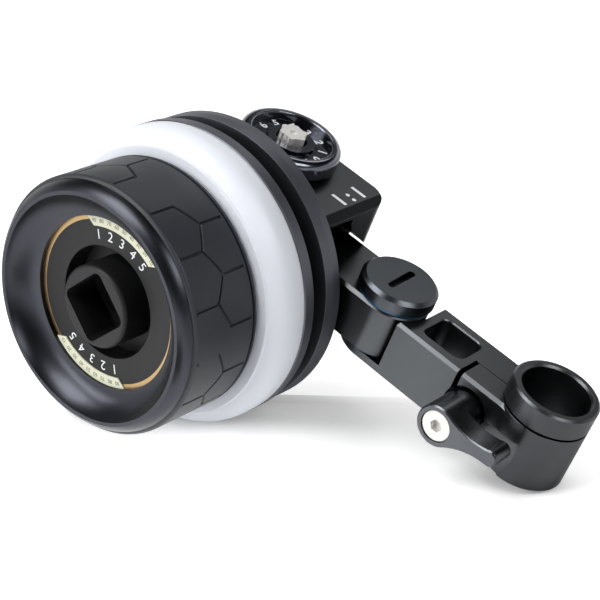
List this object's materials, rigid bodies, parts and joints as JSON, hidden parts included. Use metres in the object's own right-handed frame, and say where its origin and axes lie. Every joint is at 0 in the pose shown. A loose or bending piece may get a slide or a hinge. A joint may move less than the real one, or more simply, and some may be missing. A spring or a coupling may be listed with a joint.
{
  "type": "follow focus unit",
  "caption": "Hand wheel with a right-angle bevel drive and a drive gear, on a folding arm with a lever clamp for a round camera rod.",
  "frame": {"origin": "centre of the rod clamp's bore, half way along it", "axes": "+Z along the rod bore, out of the end with the collar; -X along the folding arm towards the gearbox; -Y is the side that the hand wheel faces"},
  "size_m": [0.122, 0.064, 0.0666],
  "materials": {
    "arm_black": "black anodised, satin",
    "disc_black": "black anodised, satin, turned",
    "dish_black": "black anodised, fine turned, satin",
    "face_black": "matt black",
    "lever_grey": "dark grey anodised, bead blasted",
    "cap_black": "blackened steel, satin",
    "knob_black": "black anodised, polished",
    "rubber": "moulded black rubber, matt",
    "marking_white": "white, matt, slightly translucent",
    "accent_bronze": "bronze coloured, satin",
    "inlay_cream": "cream print film, matt",
    "steel": "stainless steel",
    "screw_black": "blackened steel",
    "bush_brass": "turned brass",
    "washer_blue": "blue nylon",
    "gear_black": "black acetal"
  },
  "bodies": {
    "clamp": {"clamp_arm": "arm_black", "clamp_insert": "bush_brass", "pivot_screw": "cap_black", "friction_washer": "washer_blue", "thrust_washer": "washer_blue"},
    "lever": {"clamp_lever": "lever_grey", "lever_screw": "steel", "clamp_bolt": "screw_black", "lever_washer": "washer_blue"},
    "head": {"gearbox_housing": "arm_black", "gearbox_base": "arm_black", "base_screws": "screw_black", "link_arm": "arm_black", "link_screws": "screw_black", "pivot_bush": "bush_brass", "index_disc": "disc_black", "index_screws": "screw_black", "damping_ring": "face_black", "wheel_bearing_outers": "steel", "gear_bearing_outers": "steel"},
    "wheel": {"wheel_shaft": "steel", "wheel_core": "disc_black", "wheel_flange": "disc_black", "flange_screws": "screw_black", "marking_ring": "marking_white", "rubber_grip": "rubber", "front_ring": "dish_black", "face_plate": "face_black", "accent_ring": "accent_bronze", "face_inlays": "inlay_cream", "crank_socket": "face_black", "hub_screw": "screw_black", "hub_pin": "steel", "wheel_bearing_inners": "steel", "wheel_bevel_gear": "steel", "wheel_shaft_clip": "steel"},
    "drive": {"gear_shaft": "steel", "shaft_bevel_gear": "steel", "bevel_pin": "steel", "shaft_spacer": "steel", "gear_bearing_inners": "steel", "drive_gear": "gear_black", "drive_gear_washer": "steel", "drive_gear_screw": "screw_black", "shaft_knob": "knob_black", "star_stub": "steel", "star_screw": "steel"}
  },
  "joints": [
    {"name": "clamp_lever", "type": "hinge", "parent": "clamp", "child": "lever", "pos_m": [-0.0133, 0, -0.0029], "axis": [0, 1, 0], "range_deg": [0, 110]},
    {"name": "arm_pivot", "type": "hinge", "parent": "clamp", "child": "head", "pos_m": [-0.0415, 0, 0], "axis": [0, 0, 1], "range_deg": [-90, 45]},
    {"name": "wheel_turn", "type": "hinge", "parent": "head", "child": "wheel", "pos_m": [-0.07925, 0, -0.0095], "axis": [0, 1, 0], "continuous": true},
    {"name": "gear_turn", "type": "hinge", "parent": "head", "child": "drive", "pos_m": [-0.07925, 0, 0], "axis": [0, 0, 1], "continuous": true}
  ],
  "couplings": [
    {"joint": "gear_turn", "follows": "wheel_turn", "ratio": 1}
  ]
}
